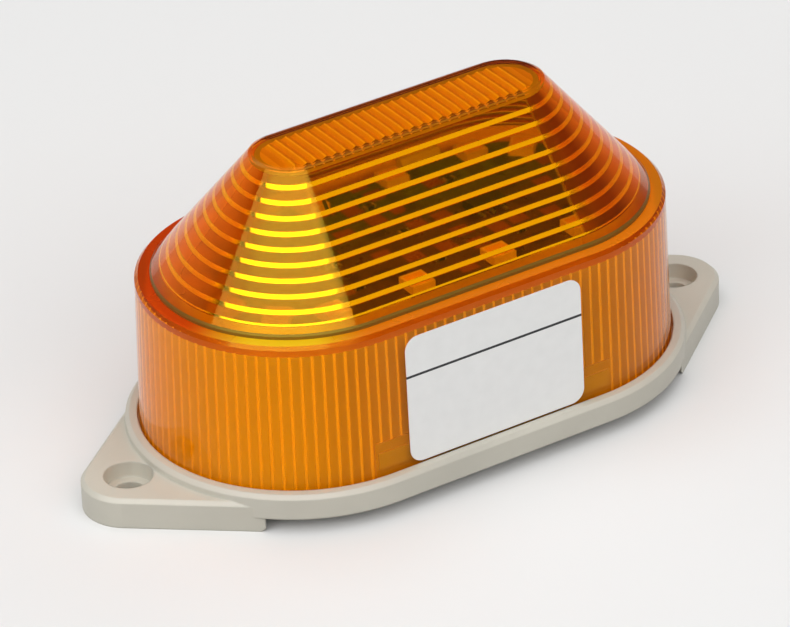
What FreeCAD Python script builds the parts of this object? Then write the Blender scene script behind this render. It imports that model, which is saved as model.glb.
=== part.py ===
import FreeCAD, Part
import math
import os

# Amber strobe beacon: a prismatic obround lens clipped onto an eared base tray, over a board of LEDs.
# Millimetres. X runs through the two screw holes, -Y is the labelled front, Z = 0 is the mounting surface.

V = FreeCAD.Vector
UP = V(0, 0, 1)
CENTRE = V(0, 0, 0)

# Base tray
HOLE_SPACING = 111.0
HOLE_DIAMETER = 5.0
COUNTERBORE_DIAMETER = 8.4
COUNTERBORE_DEPTH = 2.9
EAR_RADIUS = 8.0
EAR_HEIGHT = 5.4
EAR_BEVEL = 0.7
EAR_ROOT = 0.4           # how far inside the rim's face the ears' flanks begin
FOOT_HEIGHT = 2.7        # gap under the tray between the two feet
FOOT_REACH = 13.5        # from a screw hole inwards to the end of its foot
FOOT_BEVEL = 0.6
FLOOR_THICKNESS = 2.2
RIM_HEIGHT = 2.2         # above the floor
RIM_WALL = 2.05
RIM_BEVEL = 0.7

# Lens shell
STRAIGHT = 42.4          # length of the straight sides
LENS_RADIUS = 27.65      # round ends, at the foot
LENS_GAP = 0.3           # between the lens's foot and the rim
LENS_WALL = 2.0
DRAFT_ANGLE = 1.5
WALL_HEIGHT = 28.75
LEDGE_WIDTH = 2.6
LEDGE_THICKNESS = 2.5
RISER_HEIGHT = 0.55
ROOF_RISE = 21.45
ROOF_FOOT = 1.8          # solid foot of the roof, up the slope from the crest
TOP_RADIUS = 6.65
CROWN_WIDTH = 1.9        # sloped border of the top
CROWN_HEIGHT = 0.25
SHOULDER_BEVEL = 0.6
TOP_BEVEL = 0.4

# Prisms inside the lens
ROOF_RIB_PITCH = 2.58    # along the slope
ROOF_RIB_WIDTH = 0.9
ROOF_RIB_START = 4.22    # first rib, up the slope from the crest
ROOF_LIP_WIDTH = 0.4     # narrow rib just above the roof's solid foot
ROOF_LIP_START = 2.1
ROOF_RIB_LEAN = 10.0     # of a rib's lower face, rising inwards
WALL_RIB_PITCH = 1.97    # round the outside of the foot
WALL_RIB_WIDTH = 0.65
TOP_GROOVE_PITCH = 1.9
TOP_GROOVE_WIDTH = 1.7
TOP_BORDER = 0.9

# Snap fit of the lens on the tray
CATCH_LENGTH = 46.0
CATCH_START = 2.9        # above the floor
CATCH_HEIGHT = 3.0
CATCH_DEPTH = 0.8        # pocket in the lens wall
LAND_DEPTH = 0.35        # plain strip around the pocket
LAND_HEIGHT = 7.65       # above the floor
LAND_MARGIN = 0.5
TONGUE_LENGTH = 30.0
TONGUE_THICKNESS = 1.6
TONGUE_GAP = 0.35        # between a tongue and the land
BEAD_GAP = 0.2           # between a tongue's bead and the pocket's bottom
BEAD_MARGIN = 0.4        # between the bead and the pocket's upper and lower edges

# Rating label
LABEL_WIDTH = 34.8
LABEL_HEIGHT = 23.5
LABEL_THICKNESS = 0.15
LABEL_CORNER = 2.5
LABEL_LIFT = 0.2         # above the rim

# LED board and the pillars that hold it
BOARD_DROP = 1.25        # from the lens's shoulder down to the top of the board
BOARD_THICKNESS = 1.6
PILLAR_SPREAD = 32.2     # between the two pillars of a side
PILLAR_WIDTH = 8.0
PILLAR_SEAT = 2.5        # how far the seat reaches under the board
PILLAR_TAPER = 1.0       # how much thicker the pillar is at the floor
ARM_THICKNESS = 1.2      # springy arm with the hook
ARM_SLOT = 1.0           # between the arm and the seat
ARM_ROOT = 6.0           # height of the slot's bottom above the floor
ARM_ROOF_GAP = 0.6       # from the arm to the solid foot of the roof
HOOK_REACH = 0.6         # over the board's edge
HOOK_LIP = 0.3
HOOK_HEIGHT = 1.2
HOOK_GAP = 0.15          # between the arm and the board

# LEDs in square packages, in a ring along the edge of the board
LED_COLUMNS = 4          # along the front and along the back
END_LEDS = 4             # round each end, between the corner LEDs
LED_SIZE = 4.4
LED_HEIGHT = 1.6
LED_WELL = 3.4           # side of the square well in a package
LED_WELL_DEPTH = 0.9
LED_OVERRUN = 3.0        # how far the outer columns stand beyond the straight sides
LED_EDGE = 0.5           # from the corner LEDs to the edge of the board

# Low parts on top of the board
RESISTOR_ROWS = 3
RESISTOR_LENGTH = 2.0
RESISTOR_WIDTH = 1.25
RESISTOR_HEIGHT = 0.55
RESISTOR_END = 0.4
CHIP_LENGTH = 4.9
CHIP_WIDTH = 3.9
CHIP_HEIGHT = 1.5
CHIP_LIFT = 0.2
PIN_COUNT = 4            # along each side of the chip
PIN_PITCH = 1.27
PIN_WIDTH = 0.42
PIN_THICKNESS = 0.22
PIN_REACH = 1.05
PIN_FOOT = 0.6
TRANSISTOR_LENGTH = 6.5
TRANSISTOR_WIDTH = 3.5
TRANSISTOR_HEIGHT = 1.6
TRANSISTOR_PITCH = 2.3
TRANSISTOR_LEG = 0.7
TRANSISTOR_TAB = 3.0
TRANSISTOR_REACH = 1.7
TRANSISTOR_METAL = 0.3

# Tall parts under the board
LEG_SIZE = 0.6
DROPPER_LENGTH = 18.0
DROPPER_WIDTH = 8.5
DROPPER_HEIGHT = 15.0
DROPPER_ROUNDING = 0.8
DROPPER_INSET = (20.9, 12.7)    # from the board's end and side to the middle of the part
CAN_DIAMETER = 10.0
CAN_HEIGHT = 15.0
SEAL_DIAMETER = 8.4
SEAL_HEIGHT = 1.0
CAN_INSET = (16.9, 10.7)
BRIDGE_LENGTH = 8.4
BRIDGE_WIDTH = 6.4
BRIDGE_HEIGHT = 3.3
BRIDGE_LIFT = 0.8
BRIDGE_PITCH = 5.08
BRIDGE_INSET = (20.9, 12.7)
FUSE_LENGTH = 8.4
FUSE_WIDTH = 4.2
FUSE_HEIGHT = 7.7
FUSE_LIFT = 0.8
FUSE_PITCH = 5.08
FUSE_INSET = (16.9, 10.7)

# Supply terminals, under the board at the front
TERMINAL_POLES = 2
TERMINAL_PITCH = 5.08
TERMINAL_END = 0.4       # beyond the outer poles' cells
TERMINAL_DEPTH = 8.0
TERMINAL_HEIGHT = 10.0
TERMINAL_INSET = 3.0     # from the board's front edge
CAGE_SIZE = 3.4
CAGE_HEIGHT = 6.0
CAGE_WALL = 0.5
CAGE_MOUTH = 1.0         # how far the cage is sunk into the block's underside
CLAMP_DIAMETER = 1.8
CLAMP_CLEARANCE = 0.3
CLAMP_SUNK = 0.8         # below the block's front face
SLOT_WIDTH = 0.6
SLOT_DEPTH = 0.6

# Cord grommet
GROMMET_SPOT = (13.0, 0.0)
GROMMET_BORE = 5.8
GROMMET_NECK = 8.6
GROMMET_FLANGE = 12.0
GROMMET_LIP = 1.4
GROMMET_CLEARANCE = 0.1

# Levels and radii worked out from the sizes above
HALF = STRAIGHT / 2
EAR_X = HOLE_SPACING / 2
Z_FLOOR = FOOT_HEIGHT + FLOOR_THICKNESS
Z_RIM = Z_FLOOR + RIM_HEIGHT
Z_SHOULDER = Z_FLOOR + WALL_HEIGHT
Z_CREST = Z_SHOULDER + RISER_HEIGHT
Z_EAVE = Z_CREST + ROOF_RISE
Z_TOP = Z_EAVE + CROWN_HEIGHT
Z_LEDGE_UNDER = Z_SHOULDER - LEDGE_THICKNESS
Z_CEILING = Z_EAVE - LENS_WALL
DRAFT = math.radians(DRAFT_ANGLE)
RIM_INNER = LENS_RADIUS + LENS_GAP
RIM_RADIUS = RIM_INNER + RIM_WALL
WALL_RIB_HEIGHT = WALL_RIB_WIDTH / 2
LEAN = math.radians(ROOF_RIB_LEAN)


def wall_radius(z):
    """Outer radius of the drafted lens wall at height z."""
    return LENS_RADIUS - (z - Z_FLOOR) * math.tan(DRAFT)


def wall_inner(z):
    return wall_radius(z) - LENS_WALL


CREST_RADIUS = wall_radius(Z_SHOULDER) - LEDGE_WIDTH
ROOF_RUN = CREST_RADIUS - TOP_RADIUS
ROOF_SLOPE = math.hypot(ROOF_RUN, ROOF_RISE)
ROOF_COS = ROOF_RUN / ROOF_SLOPE
ROOF_SIN = ROOF_RISE / ROOF_SLOPE


def roof_inner(s):
    """Point (r, z) on the inside of the roof, s up the slope from the crest."""
    r = CREST_RADIUS - LENS_WALL * ROOF_SIN - s * ROOF_COS
    z = Z_CREST - LENS_WALL * ROOF_COS + s * ROOF_SIN
    return r, z


def roof_inner_radius(z):
    r0, z0 = roof_inner(0)
    return r0 - (z - z0) * ROOF_COS / ROOF_SIN


Z_BOARD = Z_SHOULDER - BOARD_DROP
Z_BOARD_UNDER = Z_BOARD - BOARD_THICKNESS
Z_HOOK = Z_BOARD + HOOK_GAP + HOOK_HEIGHT
THROAT_RADIUS = roof_inner(ROOF_FOOT)[0]
ARM_OUTER = THROAT_RADIUS - ARM_ROOF_GAP
ARM_INNER = ARM_OUTER - ARM_THICKNESS
BOARD_RADIUS = ARM_INNER - HOOK_GAP
Z_LED = Z_BOARD + LED_HEIGHT
LED_X = HALF + LED_OVERRUN
LED_CORNER = LED_OVERRUN + LED_SIZE / 2
LED_Y = math.sqrt((BOARD_RADIUS - LED_EDGE) ** 2 - LED_CORNER ** 2) - LED_SIZE / 2
LED_STEP_X = 2 * LED_X / (LED_COLUMNS - 1)
RESISTOR_STEP = 2 * LED_Y / RESISTOR_ROWS
CHIP_SPOT = (-LED_STEP_X, 0)
TRANSISTOR_SPOT = (LED_STEP_X, 0)


def quarter_spot(inset, side_x, side_y):
    """Place in one quarter of the board, so far in from its end and its side."""
    return side_x * (HALF + BOARD_RADIUS - inset[0]), side_y * (BOARD_RADIUS - inset[1])


DROPPER_SPOT = quarter_spot(DROPPER_INSET, 1, 1)
CAN_SPOT = quarter_spot(CAN_INSET, 1, -1)
BRIDGE_SPOT = quarter_spot(BRIDGE_INSET, -1, 1)
FUSE_SPOT = quarter_spot(FUSE_INSET, -1, -1)
TERMINAL_Y = TERMINAL_INSET - BOARD_RADIUS + TERMINAL_DEPTH / 2
Z_TERMINAL = Z_BOARD_UNDER - TERMINAL_HEIGHT
Z_CAGE = Z_TERMINAL + CAGE_MOUTH
Z_CLAMP = Z_CAGE + CAGE_HEIGHT / 2


# General shapes


def polygon_face(points):
    return Part.Face(Part.makePolygon(points + points[:1]))


def obround(profile):
    """Solid of an (r, z) half profile, carried along the straights and round both ends."""
    section = polygon_face([V(HALF, -r, z) for r, z in profile])
    right = section.revolve(V(HALF, 0, 0), UP, 180)
    front = section.extrude(V(-STRAIGHT, 0, 0))
    return right.fuse([front, half_turn(right), half_turn(front)]).removeSplitter()


def turned(profile, x, y):
    """Solid of revolution of an (r, z) half profile about the upright axis at x, y."""
    return polygon_face([V(x + r, y, z) for r, z in profile]).revolve(V(x, y, 0), UP, 360)


def half_turn(shape):
    copy = shape.copy()
    copy.rotate(CENTRE, UP, 180)
    return copy


def rod(diameter, z_low, z_high, x, y):
    return Part.makeCylinder(diameter / 2, z_high - z_low, V(x, y, z_low))


def block(size_x, size_y, z_low, z_high, x, y):
    """Upright box centred on x, y."""
    return Part.makeBox(size_x, size_y, z_high - z_low, V(x - size_x / 2, y - size_y / 2, z_low))


def prism_x(points, length, x=0):
    """Prism along X, centred on x, of a section given as (y, z) points."""
    return polygon_face([V(x - length / 2, y, z) for y, z in points]).extrude(V(length, 0, 0))


def spread(count, step):
    """Places of so many things a step apart, about zero."""
    return [(i - (count - 1) / 2) * step for i in range(count)]


def edges_at(shape, z):
    return [e for e in shape.Edges if abs(e.BoundBox.ZMin - z) < 1e-6 and abs(e.BoundBox.ZMax - z) < 1e-6]


# Base tray


def eared_outline(z):
    """Outline of the tray with its ears: the rim's obround joined to two small circles by tangents."""
    rim = RIM_RADIUS - EAR_ROOT
    lean = math.acos((rim - EAR_RADIUS) / (EAR_X - HALF))
    cos, sin = math.cos(lean), math.sin(lean)
    mid_cos, mid_sin = math.cos((lean + math.pi / 2) / 2), math.sin((lean + math.pi / 2) / 2)
    edges = []
    for side in (1, -1):
        rim_start = V(side * HALF, -side * rim, z)
        rim_middle = V(side * (HALF + rim * mid_cos), -side * rim * mid_sin, z)
        rim_end = V(side * (HALF + rim * cos), -side * rim * sin, z)
        ear_start = V(side * (EAR_X + EAR_RADIUS * cos), -side * EAR_RADIUS * sin, z)
        ear_end = V(ear_start.x, -ear_start.y, z)
        far_start = V(rim_end.x, -rim_end.y, z)
        far_middle = V(rim_middle.x, -rim_middle.y, z)
        far_end = V(rim_start.x, -rim_start.y, z)
        edges.append(Part.Arc(rim_start, rim_middle, rim_end).toShape())
        edges.append(Part.LineSegment(rim_end, ear_start).toShape())
        edges.append(Part.Arc(ear_start, V(side * (EAR_X + EAR_RADIUS), 0, z), ear_end).toShape())
        edges.append(Part.LineSegment(ear_end, far_start).toShape())
        edges.append(Part.Arc(far_start, far_middle, far_end).toShape())
        edges.append(Part.LineSegment(far_end, V(-far_end.x, far_end.y, z)).toShape())
    return Part.Wire(edges)


def eared_plate():
    """The ears and feet, opened under the middle of the tray."""
    plate = Part.Face(eared_outline(0)).extrude(V(0, 0, EAR_HEIGHT))
    plate = plate.makeChamfer(EAR_BEVEL, edges_at(plate, EAR_HEIGHT))
    arch_length = 2 * (EAR_X - FOOT_REACH)
    arch = block(arch_length, 4 * RIM_RADIUS, -FOOT_HEIGHT, FOOT_HEIGHT, 0, 0)
    plate = plate.cut(arch)
    foot_ends = [e for e in edges_at(plate, 0) if e.BoundBox.XLength < 1e-6]
    plate = plate.makeChamfer(FOOT_BEVEL, foot_ends)
    well = [(0, Z_FLOOR), (RIM_INNER, Z_FLOOR), (RIM_INNER, Z_RIM), (0, Z_RIM)]
    return plate.cut(obround(well))


def tray_rim():
    """Floor and raised rim, as one profile carried round the obround."""
    return obround([
        (0, FOOT_HEIGHT),
        (RIM_RADIUS, FOOT_HEIGHT),
        (RIM_RADIUS, Z_RIM - RIM_BEVEL),
        (RIM_RADIUS - RIM_BEVEL, Z_RIM),
        (RIM_INNER, Z_RIM),
        (RIM_INNER, Z_FLOOR),
        (0, Z_FLOOR),
    ])


def board_pillars():
    """Two front pillars, each with a seat under the board and a springy arm hooked over its edge."""
    z_root = Z_FLOOR + ARM_ROOT
    seat_outer = ARM_INNER - ARM_SLOT
    seat_inner = BOARD_RADIUS - PILLAR_SEAT
    section = [
        (-ARM_OUTER, Z_FLOOR),
        (-ARM_OUTER, Z_HOOK),
        (-ARM_INNER, Z_HOOK),
        (HOOK_REACH - BOARD_RADIUS, Z_BOARD + HOOK_GAP + HOOK_LIP),
        (HOOK_REACH - BOARD_RADIUS, Z_BOARD + HOOK_GAP),
        (-ARM_INNER, Z_BOARD + HOOK_GAP),
        (-ARM_INNER, z_root),
        (-seat_outer, z_root),
        (-seat_outer, Z_BOARD_UNDER),
        (-seat_inner, Z_BOARD_UNDER),
        (PILLAR_TAPER - seat_inner, Z_FLOOR),
    ]
    return [prism_x(section, PILLAR_WIDTH, x) for x in spread(2, PILLAR_SPREAD)]


def snap_tongue():
    """Long upright tongue on the front side, with the bead that snaps into the lens's catch pocket."""
    z_low, z_high = Z_FLOOR + CATCH_START, Z_FLOOR + CATCH_START + CATCH_HEIGHT
    face = wall_inner(z_high) + LAND_DEPTH - TONGUE_GAP
    bead = wall_inner(z_high) + CATCH_DEPTH - BEAD_GAP
    rise = bead - face
    return prism_x([
        (-face, Z_FLOOR),
        (-face, z_low + BEAD_MARGIN),
        (-bead, z_low + BEAD_MARGIN + rise),
        (-bead, z_high - BEAD_MARGIN - rise),
        (-face, z_high - BEAD_MARGIN),
        (-face, z_high),
        (TONGUE_THICKNESS - face, z_high),
        (TONGUE_THICKNESS - face, Z_FLOOR),
    ], TONGUE_LENGTH)


def base_tray():
    front = board_pillars() + [snap_tongue()]
    back = [half_turn(piece) for piece in front]
    tray = eared_plate().fuse([tray_rim()] + front + back).removeSplitter()
    holes = [rod(GROMMET_NECK + 2 * GROMMET_CLEARANCE, 0, Z_RIM, *GROMMET_SPOT)]
    for x in (-EAR_X, EAR_X):
        holes.append(rod(HOLE_DIAMETER, -EAR_HEIGHT, 2 * EAR_HEIGHT, x, 0))
        holes.append(rod(COUNTERBORE_DIAMETER, EAR_HEIGHT - COUNTERBORE_DEPTH, 2 * EAR_HEIGHT, x, 0))
    return tray.cut(holes)


# Lens


def lens_outside():
    return obround([
        (0, Z_FLOOR),
        (LENS_RADIUS, Z_FLOOR),
        (wall_radius(Z_SHOULDER - SHOULDER_BEVEL), Z_SHOULDER - SHOULDER_BEVEL),
        (wall_radius(Z_SHOULDER) - SHOULDER_BEVEL, Z_SHOULDER),
        (CREST_RADIUS, Z_SHOULDER),
        (CREST_RADIUS, Z_CREST),
        (TOP_RADIUS + TOP_BEVEL * ROOF_COS, Z_EAVE - TOP_BEVEL * ROOF_SIN),
        (TOP_RADIUS - TOP_BEVEL, Z_EAVE),
        (TOP_RADIUS - TOP_BEVEL - CROWN_WIDTH, Z_TOP),
        (0, Z_TOP),
    ])


def rib_tip(low, high):
    """Tip of a right-angled rib that stands on the inside of the roof between two (r, z) points."""
    reach = (low[0] - high[0]) * math.cos(LEAN) + (high[1] - low[1]) * math.sin(LEAN)
    return low[0] - reach * math.cos(LEAN), low[1] + reach * math.sin(LEAN)


def roof_cavity():
    """Hollow under the roof, with the right-angled ribs that run round its sloped side."""
    ceiling_at = (Z_CEILING - roof_inner(0)[1]) / ROOF_SIN
    span = ceiling_at - ROOF_RIB_WIDTH / 2 - ROOF_RIB_START
    ribs = [(ROOF_LIP_START, ROOF_LIP_WIDTH)]
    for i in range(int(span / ROOF_RIB_PITCH) + 1):
        ribs.append((ROOF_RIB_START + i * ROOF_RIB_PITCH, ROOF_RIB_WIDTH))
    throat_low = Z_LEDGE_UNDER - LENS_WALL
    outline = [(0, throat_low), (THROAT_RADIUS, throat_low), roof_inner(ROOF_FOOT)]
    for middle, width in ribs:
        low = roof_inner(middle - width / 2)
        high = roof_inner(middle + width / 2)
        outline += [low, rib_tip(low, high), high]
    outline += [roof_inner(ceiling_at), (0, Z_CEILING)]
    return obround(outline)


def ribbed_ring(z):
    """Closed outline of the wall's inside at height z, with a right-angled rib at every pitch."""
    radius = wall_inner(z)
    straight_ribs = round(STRAIGHT / WALL_RIB_PITCH)
    end_ribs = round(math.pi * LENS_RADIUS / WALL_RIB_PITCH)
    step = STRAIGHT / straight_ribs
    turn = math.pi / end_ribs
    rib_angle = WALL_RIB_WIDTH / 2 / wall_inner(Z_SHOULDER)
    rib_radius = radius * (1 - WALL_RIB_HEIGHT / wall_inner(Z_SHOULDER))
    points = []
    for side in (1, -1):
        for i in range(straight_ribs):
            x = -HALF + (i + 0.5) * step
            for offset, y in ((-0.5, radius), (0, radius - WALL_RIB_HEIGHT), (0.5, radius)):
                points.append(V(side * (x + offset * WALL_RIB_WIDTH), -side * y, z))
        for i in range(end_ribs):
            angle = -math.pi / 2 + (i + 0.5) * turn
            for offset, r in ((-1, radius), (0, rib_radius), (1, radius)):
                a = angle + offset * rib_angle
                points.append(V(side * (HALF + r * math.cos(a)), side * r * math.sin(a), z))
    return Part.makePolygon(points + points[:1])


def ribbed_core():
    return Part.makeLoft([ribbed_ring(Z_FLOOR - LENS_WALL), ribbed_ring(Z_LEDGE_UNDER)], True, True)


def wall_pocket(length, z_low, z_high, depth):
    """Flat-bottomed pocket in the inside of the front wall."""
    root = wall_inner(Z_SHOULDER) - LENS_WALL
    return prism_x([
        (-wall_inner(z_low) - depth, z_low),
        (-wall_inner(z_high) - depth, z_high),
        (-root, z_high),
        (-root, z_low),
    ], length)


def top_grooves():
    """V grooves across the underside of the flat top, ending a border short of its edge."""
    reach = roof_inner_radius(Z_CEILING) - TOP_BORDER
    half_width, depth = TOP_GROOVE_WIDTH, TOP_GROOVE_WIDTH
    count = int((HALF + reach - TOP_GROOVE_WIDTH) / TOP_GROOVE_PITCH)
    grooves = []
    for i in range(-count, count + 1):
        x = i * TOP_GROOVE_PITCH
        past_straight = max(abs(x) + TOP_GROOVE_WIDTH / 2 - HALF, 0)
        end = math.sqrt(reach ** 2 - past_straight ** 2)
        apex = V(x, -end, Z_CEILING + depth / 2)
        left = V(x - half_width, -end, Z_CEILING - depth / 2)
        right = V(x + half_width, -end, Z_CEILING - depth / 2)
        grooves.append(polygon_face([apex, left, right]).extrude(V(0, 2 * end, 0)))
    return grooves


def lens_cover():
    catch_low = Z_FLOOR + CATCH_START
    catch = wall_pocket(CATCH_LENGTH, catch_low, catch_low + CATCH_HEIGHT, CATCH_DEPTH)
    land_length = CATCH_LENGTH + 2 * LAND_MARGIN
    land = wall_pocket(land_length, Z_FLOOR - LENS_WALL, Z_FLOOR + LAND_HEIGHT, LAND_DEPTH)
    lens = lens_outside().cut(roof_cavity()).cut(ribbed_core())
    lens = lens.cut([land, half_turn(land)])
    lens = lens.cut([catch, half_turn(catch)])
    return lens.cut(top_grooves())


def rating_label():
    """Thin film with rounded corners, lying on the drafted front face."""
    z_low = Z_RIM + LABEL_LIFT
    film = block(LABEL_WIDTH, LABEL_THICKNESS, 0, LABEL_HEIGHT, 0, -LABEL_THICKNESS / 2)
    corners = [e for e in film.Edges if e.BoundBox.YLength > LABEL_THICKNESS / 2]
    film = film.makeFillet(LABEL_CORNER, corners)
    film.rotate(CENTRE, V(1, 0, 0), -DRAFT_ANGLE)
    film.translate(V(0, -wall_radius(z_low), z_low))
    return film


# LED board and LEDs


def led_board():
    return obround([
        (0, Z_BOARD_UNDER),
        (BOARD_RADIUS, Z_BOARD_UNDER),
        (BOARD_RADIUS, Z_BOARD),
        (0, Z_BOARD),
    ])


def led_spots():
    """Places (x, y) and turns of the LEDs in the ring."""
    radius = math.hypot(LED_OVERRUN, LED_Y)
    corner = math.degrees(math.atan2(LED_OVERRUN, LED_Y))
    step = (180 - 2 * corner) / (END_LEDS + 1)
    spots = []
    for side in (1, -1):
        spots += [(x, -side * LED_Y, 0) for x in spread(LED_COLUMNS, LED_STEP_X)]
        for i in range(END_LEDS):
            turn = corner + (i + 1) * step
            a = math.radians(turn)
            spots.append((side * (HALF + radius * math.sin(a)), -side * radius * math.cos(a), turn))
    return spots


def led_blocks(size, z_low):
    """Square blocks up to the LEDs' tops, each turned to follow the edge of the board."""
    blocks = []
    for x, y, turn in led_spots():
        square = block(size, size, z_low, Z_LED, x, y)
        square.rotate(V(x, y, 0), UP, turn)
        blocks.append(square)
    return blocks


def led_packages():
    return [package.cut(well) for package, well in zip(led_blocks(LED_SIZE, Z_BOARD), led_windows())]


def led_windows():
    """Clear filling of the wells."""
    return led_blocks(LED_WELL, Z_LED - LED_WELL_DEPTH)


# Low parts on top of the board


def resistor_spots():
    """Midway between the LEDs, apart from where the chip and the transistor lie."""
    columns, rows = spread(LED_COLUMNS - 1, LED_STEP_X), spread(RESISTOR_ROWS, RESISTOR_STEP)
    spots = [(x, y) for x in columns for y in rows]
    taken = (CHIP_SPOT, TRANSISTOR_SPOT)
    return [spot for spot in spots if min(math.dist(spot, other) for other in taken) > CHIP_LENGTH]


def chip_resistors():
    body, high = RESISTOR_LENGTH - 2 * RESISTOR_END, Z_BOARD + RESISTOR_HEIGHT
    return [block(body, RESISTOR_WIDTH, Z_BOARD, high, x, y) for x, y in resistor_spots()]


def resistor_ends():
    """Metal caps at both ends of a chip resistor."""
    middle, high = (RESISTOR_LENGTH - RESISTOR_END) / 2, Z_BOARD + RESISTOR_HEIGHT
    return [
        block(RESISTOR_END, RESISTOR_WIDTH, Z_BOARD, high, x + side * middle, y)
        for x, y in resistor_spots()
        for side in (-1, 1)
    ]


def timer_chip():
    low = Z_BOARD + CHIP_LIFT
    return block(CHIP_LENGTH, CHIP_WIDTH, low, low + CHIP_HEIGHT, *CHIP_SPOT)


def timer_pins():
    """Gull-wing pins from the chip's flanks down to the board."""
    x, y = CHIP_SPOT
    z = Z_BOARD + CHIP_LIFT + CHIP_HEIGHT / 2
    flank, toe = CHIP_WIDTH / 2, CHIP_WIDTH / 2 + PIN_REACH
    knee = toe - PIN_FOOT
    pins = []
    for side in (-1, 1):
        outline = [
            (flank, z),
            (flank, z - PIN_THICKNESS),
            (knee - PIN_THICKNESS, z - PIN_THICKNESS),
            (knee - PIN_THICKNESS, Z_BOARD),
            (toe, Z_BOARD),
            (toe, Z_BOARD + PIN_THICKNESS),
            (knee, Z_BOARD + PIN_THICKNESS),
            (knee, z),
        ]
        section = [(y + side * u, v) for u, v in outline]
        pins += [prism_x(section, PIN_WIDTH, x + step) for step in spread(PIN_COUNT, PIN_PITCH)]
    return pins


def switch_transistor():
    high = Z_BOARD + TRANSISTOR_HEIGHT
    return block(TRANSISTOR_LENGTH, TRANSISTOR_WIDTH, Z_BOARD, high, *TRANSISTOR_SPOT)


def transistor_legs():
    """Three legs at the front of the transistor and one wide tab at its back, flat on the board."""
    x, y = TRANSISTOR_SPOT
    middle, high = (TRANSISTOR_WIDTH + TRANSISTOR_REACH) / 2, Z_BOARD + TRANSISTOR_METAL
    legs = [
        block(TRANSISTOR_LEG, TRANSISTOR_REACH, Z_BOARD, high, x + step, y - middle)
        for step in spread(3, TRANSISTOR_PITCH)
    ]
    return legs + [block(TRANSISTOR_TAB, TRANSISTOR_REACH, Z_BOARD, high, x, y + middle)]


# Tall parts under the board


def dropper_capacitor():
    low = Z_BOARD_UNDER - DROPPER_HEIGHT
    body = block(DROPPER_LENGTH, DROPPER_WIDTH, low, Z_BOARD_UNDER, *DROPPER_SPOT)
    uprights = [e for e in body.Edges if e.BoundBox.ZLength > DROPPER_HEIGHT / 2]
    return body.makeFillet(DROPPER_ROUNDING, uprights)


def smoothing_capacitor():
    high = Z_BOARD_UNDER - SEAL_HEIGHT
    return rod(CAN_DIAMETER, high - CAN_HEIGHT, high, *CAN_SPOT)


def capacitor_seal():
    return rod(SEAL_DIAMETER, Z_BOARD_UNDER - SEAL_HEIGHT, Z_BOARD_UNDER, *CAN_SPOT)


def bridge_rectifier():
    high = Z_BOARD_UNDER - BRIDGE_LIFT
    return block(BRIDGE_LENGTH, BRIDGE_WIDTH, high - BRIDGE_HEIGHT, high, *BRIDGE_SPOT)


def rectifier_legs():
    x, y = BRIDGE_SPOT
    steps = spread(2, BRIDGE_PITCH)
    low = Z_BOARD_UNDER - BRIDGE_LIFT
    return [block(LEG_SIZE, LEG_SIZE, low, Z_BOARD_UNDER, x + u, y + v) for u in steps for v in steps]


def supply_fuse():
    high = Z_BOARD_UNDER - FUSE_LIFT
    return block(FUSE_LENGTH, FUSE_WIDTH, high - FUSE_HEIGHT, high, *FUSE_SPOT)


def fuse_legs():
    x, y = FUSE_SPOT
    low = Z_BOARD_UNDER - FUSE_LIFT
    return [block(LEG_SIZE, LEG_SIZE, low, Z_BOARD_UNDER, x + u, y) for u in spread(2, FUSE_PITCH)]


# Supply terminals and grommet


def pole_axes():
    return spread(TERMINAL_POLES, TERMINAL_PITCH)


def clamp_bore(diameter, x, depth):
    """Level cylinder from the block's front face inwards, on a pole's clamp screw."""
    front = TERMINAL_Y - TERMINAL_DEPTH / 2
    return Part.makeCylinder(diameter / 2, depth, V(x, front, Z_CLAMP), V(0, 1, 0))


def terminal_block():
    """Block with a wire entry under each pole and a clamp screw at its front."""
    length = TERMINAL_POLES * TERMINAL_PITCH + 2 * TERMINAL_END
    cuts = []
    for x in pole_axes():
        cuts.append(block(CAGE_SIZE, CAGE_SIZE, Z_TERMINAL, Z_CAGE + CAGE_HEIGHT, x, TERMINAL_Y))
        cuts.append(clamp_bore(CLAMP_DIAMETER + 2 * CLAMP_CLEARANCE, x, TERMINAL_DEPTH / 2))
    return block(length, TERMINAL_DEPTH, Z_TERMINAL, Z_BOARD_UNDER, 0, TERMINAL_Y).cut(cuts)


def terminal_cages():
    """Metal channels, open to the front, that take the bare wires from below."""
    cages = []
    inside, high = CAGE_SIZE - 2 * CAGE_WALL, Z_CAGE + CAGE_HEIGHT
    for x in pole_axes():
        channel = block(CAGE_SIZE, CAGE_SIZE, Z_CAGE, high, x, TERMINAL_Y)
        passage = block(inside, CAGE_SIZE, Z_CAGE, high, x, TERMINAL_Y - CAGE_WALL)
        cages.append(channel.cut(passage))
    return cages


def terminal_screws():
    """Slotted clamp screws, which press the wires to the backs of the cages."""
    screws = []
    front = TERMINAL_Y - TERMINAL_DEPTH / 2
    for x in pole_axes():
        sunk = clamp_bore(CLAMP_DIAMETER, x, CLAMP_SUNK)
        slot_low, slot_high = Z_CLAMP - SLOT_WIDTH / 2, Z_CLAMP + SLOT_WIDTH / 2
        slot = block(2 * CLAMP_DIAMETER, 2 * SLOT_DEPTH, slot_low, slot_high, x, front + CLAMP_SUNK)
        screws.append(clamp_bore(CLAMP_DIAMETER, x, TERMINAL_DEPTH / 2).cut([sunk, slot]))
    return screws


def cable_grommet():
    """Rubber bush with a lip above and below the floor."""
    bore, neck, flange = GROMMET_BORE / 2, GROMMET_NECK / 2, GROMMET_FLANGE / 2
    return turned([
        (bore, FOOT_HEIGHT - GROMMET_LIP),
        (flange, FOOT_HEIGHT - GROMMET_LIP),
        (flange, FOOT_HEIGHT),
        (neck, FOOT_HEIGHT),
        (neck, Z_FLOOR),
        (flange, Z_FLOOR),
        (flange, Z_FLOOR + GROMMET_LIP),
        (bore, Z_FLOOR + GROMMET_LIP),
    ], *GROMMET_SPOT)


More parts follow.
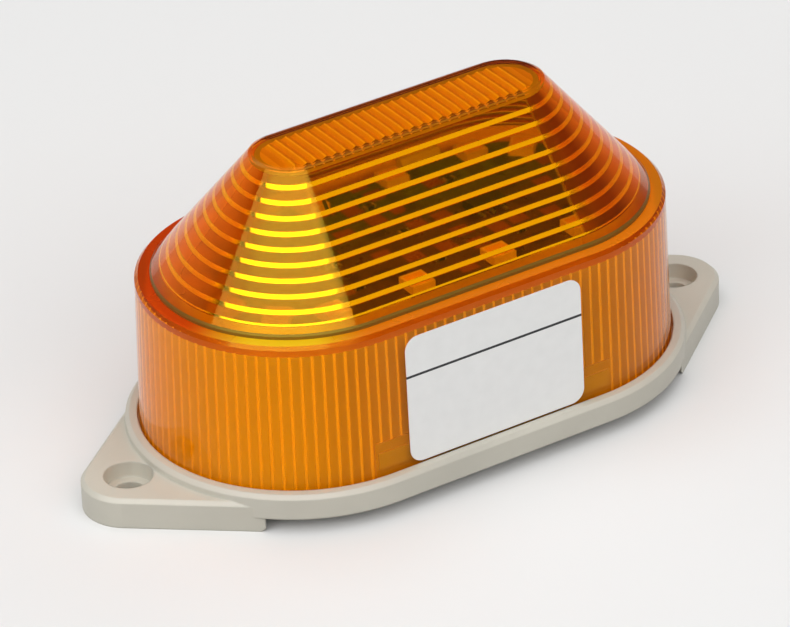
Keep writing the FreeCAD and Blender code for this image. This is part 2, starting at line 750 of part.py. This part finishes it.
PIECES = [
    base_tray,
    lens_cover,
    rating_label,
    led_board,
    led_packages,
    led_windows,
    chip_resistors,
    resistor_ends,
    timer_chip,
    timer_pins,
    switch_transistor,
    transistor_legs,
    dropper_capacitor,
    smoothing_capacitor,
    capacitor_seal,
    bridge_rectifier,
    rectifier_legs,
    supply_fuse,
    fuse_legs,
    terminal_block,
    terminal_cages,
    terminal_screws,
    cable_grommet,
]

os.makedirs("parts", exist_ok=True)
for piece in PIECES:
    shape = piece()
    if isinstance(shape, list):
        shape = Part.makeCompound(shape)
    shape.exportStep("parts/" + piece.__name__ + ".step")
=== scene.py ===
import math

import bpy
from mathutils import Matrix, Vector

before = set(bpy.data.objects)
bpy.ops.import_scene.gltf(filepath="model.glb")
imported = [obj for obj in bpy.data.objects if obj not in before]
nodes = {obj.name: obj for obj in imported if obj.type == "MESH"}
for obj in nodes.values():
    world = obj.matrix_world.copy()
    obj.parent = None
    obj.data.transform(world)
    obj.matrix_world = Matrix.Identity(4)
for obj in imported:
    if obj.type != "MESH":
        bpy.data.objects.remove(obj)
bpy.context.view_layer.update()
scene = bpy.context.scene

MM = 0.001

# Camera, in degrees and metres, with its focal length for a frame 790 pixels wide
CAMERA_AZIMUTH = -31.88
CAMERA_ELEVATION = 30.26
CAMERA_ROLL = -2.38
CAMERA_DISTANCE = 0.9013
CAMERA_AIM = Vector((-0.01369, -0.01855, 0.03054))
FOCAL_PIXELS = 5475.6
FRAME_PIXELS = 790
SENSOR = 36.0

# Softboxes: distance, and power per square metre of lamp for a radiance of 1
SOFTBOX_DISTANCE = 1.5
SOFTBOX_POWER = 4

# Tent of light round the object: its levels at the sides and overhead, and the heights of a unit direction
# between which it changes
TENT_TINT = (1.0, 0.995, 0.985)
SIDE_LEVEL = 0.4
TENT_LEVEL = 1.44
SIDE_TOP = 0.5
TENT_START = 0.8

# Patches of the tent: side (azimuth, elevation), cosines from it where the fade starts and ends, level there
TENT_PATCHES = (
    ((-103, 32), 0.92, 0.985, 0.08),
    ((-143, 28), 0.88, 0.96, 0.35),
    ((0, -20), 0.4, 0.75, 0.05),
    ((36, 41), 0.94, 0.985, 0.2),
    ((92, 32), 0.75, 0.93, 0.12),
    ((148, 28), 0.82, 0.95, 0.04),
)

# Floor: half its side, its tones, and the colour that it casts back on the object
FLOOR_HALF = 4.0
FLOOR_TONES = ((0.82, 0.82, 0.82), (0.84, 0.84, 0.84))
FLOOR_BOUNCE = (0.45, 0.45, 0.45)
FLOOR_SCALE = 3.0
FLOOR_ROUGHNESS = 0.7
FLOOR_SPECULAR = 0.2

# Range in which noise mostly lies. Scales of noise and cells are in cycles per metre
NOISE_LOW = 0.3
NOISE_HIGH = 0.7

# Moulded plastic
MOTTLE_SCALE = 60.0
MOTTLE_CONTRAST = 0.05
GRAIN_SCALE = 2500.0
GRAIN_DETAIL = 2.0
GRAIN_DEPTH = 0.02 * MM
GRAIN_STRENGTH = 0.5
GRAIN_ROUGHNESS = 0.06
EDGE_SAMPLES = 6

# Metal
TARNISH_SCALE = 1800.0
TARNISH_SHADE = 0.9
TARNISH_ROUGHNESS = 0.08

# Label
LABEL_TONES = ((0.88, 0.88, 0.87), (0.91, 0.91, 0.90))
LABEL_SCALE = 400.0
FILM_SCALE = 2000.0
FILM_ROUGHNESS = (0.35, 0.5)
RULE_HEIGHT = 23.6 * MM
RULE_THICKNESS = 0.45 * MM
RULE_INK = (0.012, 0.012, 0.014)

# Circuit board: square cells, each a pad with a land round it, and lacquer, brown in front and green behind
CELL_SCALE = 190.0
CELL_SCATTER = 0.75
LAND_START = 0.28
LAND_END = 0.36
LAND_DEPTH = 0.04 * MM
LAND_STRENGTH = 0.6
BARE_ABOVE = 0.55
COPPER = (0.22, 0.065, 0.02)
BROWN_TONES = ((0.042, 0.011, 0.005), (0.075, 0.032, 0.010))
GREEN_TONES = ((0.040, 0.060, 0.012), (0.060, 0.105, 0.020))
BROWN_END = -4 * MM
GREEN_START = 14 * MM
LACQUER_SCALE = 300.0
LACQUER_ROUGHNESS = (0.25, 0.4)

# Amber plastic
CLEAR_TONES = ((1.0, 0.66, 0.15), (1.0, 0.70, 0.17))
CLEAR_ROUGHNESS = (0.05, 0.08)
CLOUD_ROUGHNESS = 0.4
HAZE_SCALE = 90.0
AMBER_IOR = 1.52
AMBER_REFLECTION = (1.0, 0.88, 0.10)
AMBER_SHADOW = (0.93, 0.85, 0.5)
AMBER_DEPTH = (0.99, 0.92, 0.0)
AMBER_DENSITY = 1500.0

# Lens, as in the solids
HALF_STRAIGHT = 21.2 * MM
FOOT_RADIUS = 27.65 * MM
FOOT_LEVEL = 4.9 * MM
DRAFT = math.radians(1.5)
LENS_WALL = 2.0 * MM
LEDGE_UNDER = 31.15 * MM
SHOULDER = 33.65 * MM
CREST_RADIUS = 24.297 * MM
CREST_LEVEL = 34.2 * MM
ROOF_COS = 0.6353
ROOF_SIN = 0.7722
ROOF_FOOT_RADIUS = 21.61 * MM
ROOF_FOOT_LEVEL = 34.32 * MM
CEILING = 53.65 * MM
CEILING_RADIUS = 5.7 * MM
GROOVE_PITCH = 1.9 * MM
GROOVE_REACH = 4.79 * MM
GROOVE_DEPTH = 0.85 * MM

# How far a point may lie from a surface of the lens and still belong to it, and how high the riser's painted
# shade reaches
LEDGE_MARGIN = 0.01 * MM
SHOULDER_MARGIN = 0.02 * MM
GROOVE_MARGIN = 0.03 * MM
ROOF_MARGIN = 0.05 * MM
PRISM_MARGIN = 0.06 * MM
RISER_INSET = 0.1 * MM
RISER_MARGIN = 0.2 * MM
RISER_REACH = 0.9 * MM
ROOF_FOOT_MARGIN = 0.2 * MM

# Strip at the top of the roof that the back roof's painted shade leaves clear, share of the pitch where a
# groove's painted highlight line starts, and how far back the right turn goes
CLEAR_STRIP = 4.0 * MM
GROOVE_HIGHLIGHT_START = 0.86
RIGHT_TURN_END = 0.6

# Tones of the lens, each laid over those before it: surface, zone, colour, and the share that is clouded.
# Besides the plain colours of the frosted plastic, most are painted light and shade that differ round the
# lens.
# A zone is a direction, the places along it where the tone sets in and is full, and those where it starts
# to fade and is gone, if it does. None is the whole surface.
# Stretch of the left end that carries a painted yellow highlight on the roof foot and the ledge
LEFT_PAINTED_HIGHLIGHT = ("left_turn", 0.05, 0.45, 0.75, 0.98)
LENS_TONES_AND_PAINTED_LIGHT = (
    ("wall", None, (0.66, 0.40, 0.05), 0.6),
    # Painted light: the wall lighter and yellower at the left end, where the left lamps fall.
    ("wall", ("left_turn", 0.1, 0.6), (0.88, 0.66, 0.03), 0.6),
    # Painted highlight: the wall's ribs brighter, as if they caught the light.
    ("wall_ribs", None, (0.95, 0.78, 0.14), 0.85),
    ("ledge_under", None, (0.55, 0.24, 0.04), 0.6),
    ("roof_foot", None, (0.70, 0.42, 0.05), 0.6),
    # Painted highlight: bright yellow on the roof foot at the front of the left end.
    ("roof_foot", LEFT_PAINTED_HIGHLIGHT, (1.0, 1.0, 0.0), 0.8),
    ("ledge_top", None, (1.0, 0.30, 0.006), 0.5),
    # Painted shade: the ledge darker red at the tip of the left end.
    ("ledge_top", ("left_turn", 0.85, 0.99), (0.72, 0.07, 0.001), 0.5),
    # Painted highlight: yellow on the ledge at the front of the left end.
    ("ledge_top", LEFT_PAINTED_HIGHLIGHT, (1.0, 0.70, 0.01), 0.7),
    ("ceiling", None, (0.46, 0.35, 0.03), 0.7),
    # Painted shade: groove faces dark, which shows only at the groove ends beyond their reach.
    ("grooves", None, (0.20, 0.05, 0.01), 0.8),
    # Painted light and shade across each groove: a bright grooved ceiling, painted shade over one side of
    # each groove and a painted highlight line at its edge.
    ("grooved_ceiling", None, (0.90, 0.60, 0.14), 0.8),
    ("groove_shade", None, (0.72, 0.40, 0.07), 0.8),
    ("groove_highlight_line", None, (1.0, 0.78, 0.28), 0.9),
    # Windows of the round ends clouded dark red, all round the left end and at the front of the right end.
    # Over that, painted light and shade: darker near the left tip and at the front of the right end, painted
    # orange backlight behind the left tip and farther round the right end.
    ("roof", ("either_turn", 0.05, 0.3), (0.42, 0.11, 0.015), 0.25),
    ("roof", ("left_turn", 0.75, 0.96), (0.42, 0.09, 0.01), 0.5),
    ("roof", ("left_back", -0.35, 0.35), (0.90, 0.34, 0.03), 0.6),
    ("roof", ("right_turn", 0.0, 0.06), (0.18, 0.028, 0.003), 0.55),
    ("roof", ("right_turn", 0.4, 0.9), (1.0, 0.34, 0.015), 0.7),
    # Painted shade: the lower back roof clouded dark brown, which darkens the view through the front windows
    # and makes the back of the lens darker than its front.
    ("lower_roof", ("main_back", 0.0, 0.6), (0.22, 0.12, 0.01), 0.8),
    # Painted light and shade on the roof's bands: orange near the left tip and bright yellow round and
    # behind it, darker near the front of the right end and bright yellow-orange farther round it.
    ("roof_prisms", ("left_turn", 0.93, 0.985), (0.85, 0.42, 0.03), 0.7),
    ("roof_prisms", ("left_back", -0.2, 0.5), (1.0, 1.0, 0.15), 0.8),
    ("roof_prisms", ("right_turn", 0.02, 0.3), (0.70, 0.28, 0.018), 0.8),
    ("roof_prisms", ("right_turn", 0.35, 0.85), (1.0, 0.88, 0.10), 0.85),
    # Painted shade: a dark olive line on the riser between the ledge and the roof.
    ("riser", None, (0.16, 0.11, 0.02), 0.6),
)


# Shader helpers


def new_tree(name):
    """A material with an empty node tree and its output node."""
    material = bpy.data.materials.new(name)
    material.use_nodes = True
    tree = material.node_tree
    tree.nodes.clear()
    return material, tree, tree.nodes.new("ShaderNodeOutputMaterial")


def add(tree, kind, inputs=None, **settings):
    """A node with its settings and its input values or links."""
    node = tree.nodes.new("ShaderNode" + kind)
    for name, value in settings.items():
        setattr(node, name, value)
    for name, value in (inputs or {}).items():
        if isinstance(value, bpy.types.NodeSocket):
            tree.links.new(value, node.inputs[name])
        else:
            node.inputs[name].default_value = value
    return node


def rgba(colour):
    return (*colour, 1.0)


def shade(colour, factor):
    return tuple(channel * factor for channel in colour)


def object_place(tree):
    """The place of a point in its object, in metres."""
    return add(tree, "TexCoord").outputs["Object"]


def noise(tree, scale, detail=3.0):
    """Noise fixed to the object."""
    inputs = {"Vector": object_place(tree), "Scale": scale, "Detail": detail}
    return add(tree, "TexNoise", inputs).outputs["Fac"]


def spread(tree, factor, low, high):
    """Turns noise into a range of numbers."""
    return add(tree, "MapRange", {
        "Value": factor, "From Min": NOISE_LOW, "From Max": NOISE_HIGH, "To Min": low, "To Max": high,
    }).outputs["Result"]


def two_tone(tree, factor, first, second):
    """Turns noise into a range of colours."""
    ramp = add(tree, "ValToRGB", {"Fac": factor})
    start, end = ramp.color_ramp.elements
    start.position = NOISE_LOW
    start.color = rgba(first)
    end.position = NOISE_HIGH
    end.color = rgba(second)
    return ramp.outputs["Color"]


def blend(tree, factor, first, second):
    """Mixes two colours, either of which may be a socket, by a factor's socket."""
    mix = add(tree, "Mix", {"Factor": factor}, data_type="RGBA")
    for name, colour in (("A", first), ("B", second)):
        if isinstance(colour, bpy.types.NodeSocket):
            tree.links.new(colour, mix.inputs[name])
        else:
            mix.inputs[name].default_value = rgba(colour)
    return mix.outputs["Result"]


def choose(tree, mask, off, on):
    """One number where a mask is 0 and another where it is 1. Either may be a socket."""
    return add(tree, "Mix", {"Factor": mask, "A": off, "B": on}, data_type="FLOAT").outputs["Result"]


def maths(tree, operation, first, second=0.0):
    """A Math node's result. Either value may be a socket or a number."""
    node = add(tree, "Math", operation=operation)
    for socket, value in zip(node.inputs, (first, second)):
        if isinstance(value, bpy.types.NodeSocket):
            tree.links.new(value, socket)
        else:
            socket.default_value = value
    return node.outputs["Value"]


def add_up(tree, first, second):
    return maths(tree, "ADD", first, second)


def less(tree, first, second):
    return maths(tree, "SUBTRACT", first, second)


def times(tree, first, second):
    return maths(tree, "MULTIPLY", first, second)


def larger(tree, first, second):
    return maths(tree, "MAXIMUM", first, second)


def above(tree, value, limit):
    return maths(tree, "GREATER_THAN", value, limit)


def below(tree, value, limit):
    return maths(tree, "LESS_THAN", value, limit)


def near(tree, value, target, tolerance):
    """1 where a value lies that near its target, else 0."""
    result = maths(tree, "COMPARE", value, target)
    result.node.inputs[2].default_value = tolerance
    return result


def both(tree, first, second):
    """Where both masks hold."""
    return times(tree, first, second)


def inverse(tree, mask):
    return less(tree, 1.0, mask)


def fade(tree, value, start, end, low=0.0, high=1.0):
    """Low up to the start, changing smoothly to high at the end. Low may be a socket."""
    return add(tree, "MapRange", {
        "Value": value, "From Min": start, "From Max": end, "To Min": low, "To Max": high,
    }, interpolation_type="SMOOTHSTEP").outputs["Result"]


def stretch(tree, value, start, full, fading=None, gone=None):
    """1 along a stretch of a direction, with a soft start and, where it is given, a soft end."""
    mask = fade(tree, value, start, full)
    if fading is None:
        return mask
    return both(tree, mask, inverse(tree, fade(tree, value, fading, gone)))


# Materials


def moulded(name, colour, roughness=0.45, edge=0.0):
    """Moulded plastic: faint mottling, a fine grain and, where edge is given, edges rounded by that much."""
    material, tree, output = new_tree(name)
    mottle = noise(tree, MOTTLE_SCALE)
    grain = noise(tree, GRAIN_SCALE, GRAIN_DETAIL)
    darker = shade(colour, 1 - MOTTLE_CONTRAST)
    lighter = shade(colour, 1 + MOTTLE_CONTRAST)
    relief = {"Height": grain, "Distance": GRAIN_DEPTH, "Strength": GRAIN_STRENGTH}
    if edge:
        relief["Normal"] = add(tree, "Bevel", {"Radius": edge}, samples=EDGE_SAMPLES).outputs["Normal"]
    surface = add(tree, "BsdfPrincipled", {
        "Base Color": two_tone(tree, mottle, darker, lighter),
        "Roughness": spread(tree, grain, roughness - GRAIN_ROUGHNESS, roughness + GRAIN_ROUGHNESS),
        "Normal": add(tree, "Bump", relief).outputs["Normal"],
    })
    tree.links.new(surface.outputs["BSDF"], output.inputs["Surface"])
    return material


def metal(name, colour, roughness):
    """Bare metal, a little darker and duller in places."""
    material, tree, output = new_tree(name)
    tarnish = noise(tree, TARNISH_SCALE)
    surface = add(tree, "BsdfPrincipled", {
        "Base Color": two_tone(tree, tarnish, shade(colour, TARNISH_SHADE), colour),
        "Roughness": spread(tree, tarnish, roughness - TARNISH_ROUGHNESS, roughness + TARNISH_ROUGHNESS),
        "Metallic": 1.0,
    })
    tree.links.new(surface.outputs["BSDF"], output.inputs["Surface"])
    return material


def lens_directions(tree, x, y, past_straight, radius):
    """Directions round the lens, by name.

    A turn goes from 0 at the front of a round end to 1 at its tip. Behind the tip the left turn stays 1,
    and the right turn goes back to 0. A back goes from -1 at the front to 1 at the back. The left back is
    for the left end and the main back for the rest of the lens, and elsewhere each is -1.
    """
    sideways = maths(tree, "DIVIDE", past_straight, radius)
    backward = maths(tree, "DIVIDE", y, radius)
    round_end = above(tree, past_straight, 0.0)
    left_end = both(tree, round_end, below(tree, x, 0.0))
    right_end = both(tree, round_end, above(tree, x, 0.0))
    left_turn = both(tree, left_end, larger(tree, sideways, above(tree, y, 0.0)))
    in_front = inverse(tree, fade(tree, backward, 0.0, RIGHT_TURN_END))
    right_turn = both(tree, both(tree, right_end, sideways), in_front)
    return {
        "left_turn": left_turn,
        "right_turn": right_turn,
        "either_turn": larger(tree, left_turn, right_turn),
        "left_back": choose(tree, left_end, -1.0, backward),
        "main_back": choose(tree, left_end, backward, -1.0),
    }


def lens_surfaces(tree, x, z, radius):
    """Masks for surfaces of the lens, by name."""
    taper = times(tree, less(tree, z, FOOT_LEVEL), math.tan(DRAFT))
    wall_depth = less(tree, less(tree, FOOT_RADIUS, taper), radius)
    below_ledge = below(tree, z, LEDGE_UNDER - LEDGE_MARGIN)
    crest = CREST_RADIUS * ROOF_SIN + CREST_LEVEL * ROOF_COS
    slope = add_up(tree, times(tree, radius, ROOF_SIN), times(tree, z, ROOF_COS))
    roof_depth = less(tree, crest, slope)
    inside_roof = both(tree, above(tree, z, ROOF_FOOT_LEVEL), below(tree, z, CEILING - ROOF_MARGIN))
    roof = both(tree, inside_roof, near(tree, roof_depth, LENS_WALL, ROOF_MARGIN))
    at_shoulder = near(tree, z, SHOULDER, SHOULDER_MARGIN)
    at_riser = near(tree, radius, CREST_RADIUS - RISER_INSET, RISER_MARGIN)
    riser_middle = SHOULDER + RISER_REACH / 2
    in_foot = below(tree, radius, ROOF_FOOT_RADIUS + ROOF_FOOT_MARGIN)
    at_ceiling = near(tree, z, CEILING, GROOVE_DEPTH + ROOF_MARGIN)
    ceiling = both(tree, at_ceiling, below(tree, radius, CEILING_RADIUS))
    grooves = both(tree, ceiling, above(tree, z, CEILING + GROOVE_MARGIN))
    in_reach = below(tree, radius, GROOVE_REACH - GROOVE_MARGIN)
    grooved_ceiling = both(tree, ceiling, in_reach)
    phase = maths(tree, "FRACT", maths(tree, "DIVIDE", x, GROOVE_PITCH))
    line = both(tree, in_reach, above(tree, phase, GROOVE_HIGHLIGHT_START))
    return {
        "wall": both(tree, below_ledge, above(tree, wall_depth, LENS_WALL / 2)),
        "wall_ribs": both(tree, below_ledge, above(tree, wall_depth, LENS_WALL + PRISM_MARGIN)),
        "ledge_under": near(tree, z, LEDGE_UNDER, LEDGE_MARGIN),
        "ledge_top": both(tree, at_shoulder, above(tree, radius, CREST_RADIUS - LEDGE_MARGIN)),
        "riser": both(tree, at_riser, near(tree, z, riser_middle, RISER_REACH / 2)),
        "roof_foot": both(tree, below(tree, z, ROOF_FOOT_LEVEL), in_foot),
        "roof": roof,
        "lower_roof": both(tree, roof, below(tree, z, CEILING - CLEAR_STRIP)),
        "roof_prisms": both(tree, inside_roof, above(tree, roof_depth, LENS_WALL + PRISM_MARGIN)),
        "ceiling": ceiling,
        "grooves": grooves,
        "grooved_ceiling": grooved_ceiling,
        "groove_shade": both(tree, grooved_ceiling, inverse(tree, phase)),
        "groove_highlight_line": both(tree, grooves, line),
    }


def lens_layers(tree):
    """Mask, colour and clouded share of each tone of the lens, painted light and shade among them."""
    place = add(tree, "SeparateXYZ", {"Vector": object_place(tree)})
    x, y, z = (place.outputs[axis] for axis in "XYZ")
    past_straight = larger(tree, less(tree, maths(tree, "ABSOLUTE", x), HALF_STRAIGHT), 0.0)
    squares = add_up(tree, times(tree, past_straight, past_straight), times(tree, y, y))
    radius = maths(tree, "SQRT", squares)
    surfaces = lens_surfaces(tree, x, z, radius)
    directions = lens_directions(tree, x, y, past_straight, radius)
    for surface, zone, colour, share in LENS_TONES_AND_PAINTED_LIGHT:
        mask = surfaces[surface]
        if zone:
            direction, *limits = zone
            mask = both(tree, mask, stretch(tree, directions[direction], *limits))
        yield mask, colour, share


def amber_lens():
    """Clear amber plastic that deepens with thickness, with the tones of its surfaces, painted light and
    shade among them.

    Light from lamps passes it unbent, so the inside is lit.
    """
    material, tree, output = new_tree("amber_lens")
    haze = noise(tree, HAZE_SCALE)
    colour = blend(tree, haze, *CLEAR_TONES)
    cloud = 0.0
    for mask, tone, share in lens_layers(tree):
        colour = blend(tree, mask, colour, tone)
        cloud = larger(tree, times(tree, mask, share), cloud)
    clear_roughness = spread(tree, haze, *CLEAR_ROUGHNESS)
    plastic = add(tree, "BsdfPrincipled", {
        "Base Color": colour,
        "Roughness": add_up(tree, clear_roughness, times(tree, cloud, CLOUD_ROUGHNESS)),
        "IOR": AMBER_IOR,
        "Transmission Weight": inverse(tree, cloud),
        "Specular Tint": rgba(AMBER_REFLECTION),
    })
    lamp_light = add(tree, "BsdfTransparent", {"Color": rgba(AMBER_SHADOW)})
    mixed = add(tree, "MixShader", {"Fac": add(tree, "LightPath").outputs["Is Shadow Ray"]})
    depth = add(tree, "VolumeAbsorption", {"Color": rgba(AMBER_DEPTH), "Density": AMBER_DENSITY})
    tree.links.new(plastic.outputs["BSDF"], mixed.inputs[1])
    tree.links.new(lamp_light.outputs["BSDF"], mixed.inputs[2])
    tree.links.new(mixed.outputs["Shader"], output.inputs["Surface"])
    tree.links.new(depth.outputs["Volume"], output.inputs["Volume"])
    return material


def label_film():
    """White film with one black rule right across it."""
    material, tree, output = new_tree("label_film")
    height = add(tree, "SeparateXYZ", {"Vector": object_place(tree)}).outputs["Z"]
    rule = near(tree, height, RULE_HEIGHT, RULE_THICKNESS / 2)
    film = two_tone(tree, noise(tree, LABEL_SCALE), *LABEL_TONES)
    surface = add(tree, "BsdfPrincipled", {
        "Base Color": blend(tree, rule, film, RULE_INK),
        "Roughness": spread(tree, noise(tree, FILM_SCALE), *FILM_ROUGHNESS),
    })
    tree.links.new(surface.outputs["BSDF"], output.inputs["Surface"])
    return material


def solder_mask():
    """Lacquer over square pads, some of them bare copper, with paler and raised lands between them."""
    material, tree, output = new_tree("solder_mask")
    place = object_place(tree)
    inputs = {"Vector": place, "Scale": CELL_SCALE, "Randomness": CELL_SCATTER}
    cells = add(tree, "TexVoronoi", inputs, distance="CHEBYCHEV").outputs
    lands = add(tree, "MapRange", {
        "Value": cells["Distance"], "From Min": LAND_START, "From Max": LAND_END,
    }).outputs["Result"]
    depth = add(tree, "SeparateXYZ", {"Vector": place}).outputs["Y"]
    behind = fade(tree, depth, BROWN_END, GREEN_START)
    brown = blend(tree, lands, *BROWN_TONES)
    green = blend(tree, lands, *GREEN_TONES)
    drawn = add(tree, "SeparateColor", {"Color": cells["Color"]}).outputs["Red"]
    bare_pads = both(tree, above(tree, drawn, BARE_ABOVE), inverse(tree, lands))
    relief = {"Height": lands, "Distance": LAND_DEPTH, "Strength": LAND_STRENGTH}
    surface = add(tree, "BsdfPrincipled", {
        "Base Color": blend(tree, bare_pads, blend(tree, behind, brown, green), COPPER),
        "Roughness": spread(tree, noise(tree, LACQUER_SCALE), *LACQUER_ROUGHNESS),
        "Normal": add(tree, "Bump", relief).outputs["Normal"],
    })
    tree.links.new(surface.outputs["BSDF"], output.inputs["Surface"])
    return material


def dress(material, *names):
    """Gives CAD nodes a material."""
    for name in names:
        for slot in nodes[name].material_slots:
            slot.material = material


TIN_PIECES = ("resistor_ends", "timer_pins", "transistor_legs", "rectifier_legs", "fuse_legs")
BLACK_MOULDINGS = ("timer_chip", "switch_transistor", "bridge_rectifier")

dress(moulded("beige_plastic", (0.575, 0.55, 0.472), edge=0.45 * MM), "base_tray")
dress(amber_lens(), "lens_cover")
dress(label_film(), "rating_label")
dress(solder_mask(), "led_board")
dress(moulded("led_white", (0.72, 0.58, 0.40), 0.5), "led_packages")
dress(moulded("led_resin", (0.80, 0.50, 0.12), 0.2), "led_windows")
dress(moulded("black_glaze", (0.025, 0.025, 0.028), 0.3), "chip_resistors")
dress(moulded("black_mould", (0.03, 0.03, 0.032), 0.55), *BLACK_MOULDINGS)
dress(metal("tin", (0.78, 0.77, 0.74), 0.3), *TIN_PIECES)
dress(moulded("film_coat", (0.50, 0.09, 0.04), 0.3), "dropper_capacitor")
dress(metal("can_aluminium", (0.80, 0.81, 0.82), 0.35), "smoothing_capacitor")
dress(moulded("black_rubber", (0.03, 0.03, 0.03), 0.7), "capacitor_seal", "cable_grommet")
dress(moulded("fuse_case", (0.05, 0.045, 0.04), 0.5), "supply_fuse")
dress(moulded("terminal_green", (0.04, 0.24, 0.10), 0.4), "terminal_block")
dress(metal("brass", (0.83, 0.66, 0.33), 0.3), "terminal_cages")
dress(metal("zinc", (0.62, 0.63, 0.65), 0.35), "terminal_screws")


# Studio


def toward(azimuth, elevation):
    """Unit vector from the object to that side: azimuth 0 is the front, 90 is +X."""
    a = math.radians(azimuth)
    e = math.radians(elevation)
    return Vector((math.sin(a) * math.cos(e), -math.cos(a) * math.cos(e), math.sin(e)))


def softbox(name, side, size, radiance, shift=(0.0, 0.0), shows="both"):
    """Area lamp on the given side (azimuth, elevation), facing the object.

    It is shifted aside and up in its own plane, and shows in mirrored light, diffused light or both.
    """
    width, height = size
    lamp = bpy.data.lights.new(name, "AREA")
    lamp.shape = "RECTANGLE"
    lamp.size = width
    lamp.size_y = height
    lamp.energy = SOFTBOX_POWER * width * height * radiance
    body = bpy.data.objects.new(name, lamp)
    body.visible_diffuse = shows != "mirrored"
    body.visible_glossy = shows != "diffused"
    body.visible_transmission = shows != "diffused"
    direction = toward(*side)
    turn = direction.to_track_quat("Z", "Y")
    body.location = direction * SOFTBOX_DISTANCE + turn @ Vector((*shift, 0))
    body.rotation_euler = turn.to_euler()
    scene.collection.objects.link(body)


def floor():
    """Pale paper, which casts less light back on the object than it shows."""
    material, tree, output = new_tree("studio_floor")
    paper = two_tone(tree, noise(tree, FLOOR_SCALE), *FLOOR_TONES)
    path = add(tree, "LightPath").outputs
    mirrored = larger(tree, path["Is Glossy Ray"], path["Is Transmission Ray"])
    seen = larger(tree, path["Is Camera Ray"], mirrored)
    surface = add(tree, "BsdfPrincipled", {
        "Base Color": blend(tree, seen, FLOOR_BOUNCE, paper),
        "Roughness": FLOOR_ROUGHNESS,
        "Specular IOR Level": FLOOR_SPECULAR,
    })
    tree.links.new(surface.outputs["BSDF"], output.inputs["Surface"])
    corners = [(x * FLOOR_HALF, y * FLOOR_HALF, 0) for x, y in ((-1, -1), (1, -1), (1, 1), (-1, 1))]
    mesh = bpy.data.meshes.new("floor")
    mesh.from_pydata(corners, [], [(0, 1, 2, 3)])
    mesh.materials.append(material)
    plane = bpy.data.objects.new("floor", mesh)
    scene.collection.objects.link(plane)


def surroundings():
    """A pale tent, brightest overhead, with darker patches."""
    world = bpy.data.worlds.new("studio")
    world.use_nodes = True
    tree = world.node_tree
    backdrop = tree.nodes["Background"]
    backdrop.inputs["Color"].default_value = rgba(TENT_TINT)
    direction = add(tree, "TexCoord").outputs["Generated"]
    height = add(tree, "SeparateXYZ", {"Vector": direction}).outputs["Z"]
    level = fade(tree, height, SIDE_TOP, TENT_START, SIDE_LEVEL, TENT_LEVEL)
    for side, start, end, patch_level in TENT_PATCHES:
        nearness = add(tree, "VectorMath", operation="DOT_PRODUCT")
        tree.links.new(direction, nearness.inputs[0])
        nearness.inputs[1].default_value = toward(*side)
        level = fade(tree, nearness.outputs["Value"], start, end, level, patch_level)
    tree.links.new(level, backdrop.inputs["Strength"])
    scene.world = world


def photograph_camera():
    """Camera at the photograph's viewing angle."""
    direction = toward(CAMERA_AZIMUTH, CAMERA_ELEVATION)
    data = bpy.data.cameras.new("camera")
    data.sensor_width = SENSOR
    data.lens = SENSOR * FOCAL_PIXELS / FRAME_PIXELS
    camera = bpy.data.objects.new("camera", data)
    place = Matrix.Translation(CAMERA_AIM + direction * CAMERA_DISTANCE)
    level = direction.to_track_quat("Z", "Y").to_matrix().to_4x4()
    roll = Matrix.Rotation(math.radians(CAMERA_ROLL), 4, "Z")
    camera.matrix_world = place @ level @ roll
    scene.collection.objects.link(camera)
    scene.camera = camera


floor()
surroundings()
softbox("left_softbox", side=(-41, 40), shift=(-0.2, -0.065), size=(3.16, 0.53), radiance=1.0)
softbox("left_card", side=(-41, 40), shift=(-0.22, 0.17), size=(3.06, 1.0), radiance=2.5, shows="mirrored")
softbox("right_card", side=(27, 28), size=(0.8, 0.42), radiance=0.6)
softbox("front_fill", side=(5, 35), size=(1.6, 0.8), radiance=1.04, shows="diffused")
softbox("right_fill", side=(115, 35), size=(1.6, 1.0), radiance=0.4, shows="diffused")
softbox("left_fill", side=(-80, 30), size=(1.4, 0.8), radiance=1.2, shows="diffused")
photograph_camera()
scene.view_settings.view_transform = "Standard"
